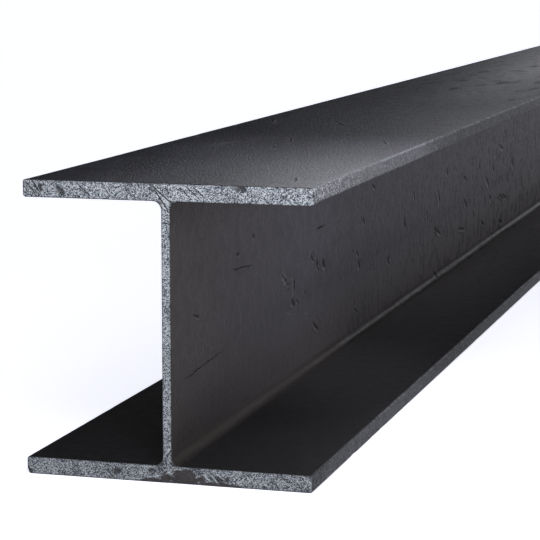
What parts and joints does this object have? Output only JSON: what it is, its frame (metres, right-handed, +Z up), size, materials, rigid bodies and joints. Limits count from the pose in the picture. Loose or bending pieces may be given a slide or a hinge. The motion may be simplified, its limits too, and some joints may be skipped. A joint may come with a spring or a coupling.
{
  "type": "steel i-beam",
  "caption": "Length of hot-rolled wide-flange steel beam with equal flanges, a thin central web, small root fillets, worn flange tips and square sawn ends.",
  "frame": {"origin": "middle of the underside: halfway along the beam, on the web's centre plane, at the lowest face of the lower flange", "axes": "+X across the flanges, +Y along the beam from the front sawn end to the back one, +Z up through the web, square to both flanges"},
  "size_m": [0.2, 3, 0.2],
  "materials": {
    "rolled_steel": "hot-rolled, dark blue-grey mill scale with bare ground metal at the sawn ends"
  },
  "bodies": {
    "root": {"beam": "rolled_steel"}
  },
  "joints": []
}
